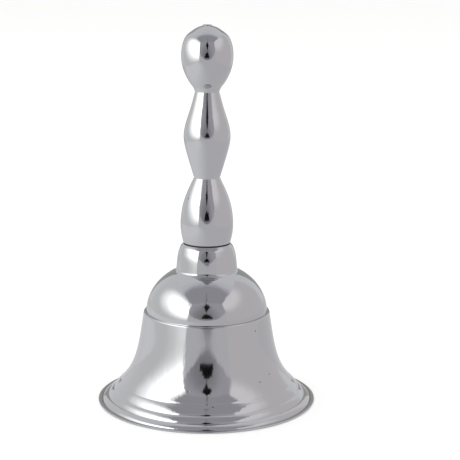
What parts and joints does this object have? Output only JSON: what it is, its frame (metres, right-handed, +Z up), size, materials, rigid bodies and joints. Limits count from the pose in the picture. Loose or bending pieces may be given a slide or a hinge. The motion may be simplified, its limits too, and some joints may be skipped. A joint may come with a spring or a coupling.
{
  "type": "hand bell",
  "caption": "Small table hand bell: flared shell with a stepped lip, turned handle of stacked bulges and a ball clapper that swings inside.",
  "frame": {"origin": "middle of the lip, on the surface the bell stands on", "axes": "+Z up the common axis of shell and handle; the link swings about +Y and the clapper about +X"},
  "size_m": [0.07, 0.07, 0.1204],
  "materials": {
    "chrome_plate": "mirror-polished bright plate on turned and spun brass",
    "black_fibre": "dull black fibre washer",
    "rod_steel": "bright drawn steel rod, slotted end polished with the handle",
    "zinc_steel": "bright zinc-plated stock fasteners",
    "nickel_brass": "dull nickel plate on turned brass",
    "link_steel": "nickel-plated steel wire"
  },
  "bodies": {
    "bell": {"bell_shell": "chrome_plate", "crown_gasket": "black_fibre", "handle_lower_section": "chrome_plate", "handle_middle_section": "chrome_plate", "handle_ball": "chrome_plate", "tie_rod": "rod_steel", "flat_washer": "zinc_steel", "spring_washer": "zinc_steel", "clamp_nut": "zinc_steel", "clapper_eye": "nickel_brass"},
    "link": {"hanger_link": "link_steel"},
    "clapper": {"clapper_stem": "link_steel", "clapper_ball": "nickel_brass"}
  },
  "joints": [
    {"name": "link_swing", "type": "hinge", "parent": "bell", "child": "link", "pos_m": [0, 0, 0.0384], "axis": [0, 1, 0], "range_deg": [-24, 24]},
    {"name": "clapper_swing", "type": "hinge", "parent": "link", "child": "clapper", "pos_m": [0, 0, 0.03485], "axis": [1, 0, 0], "range_deg": [-24, 24]}
  ]
}
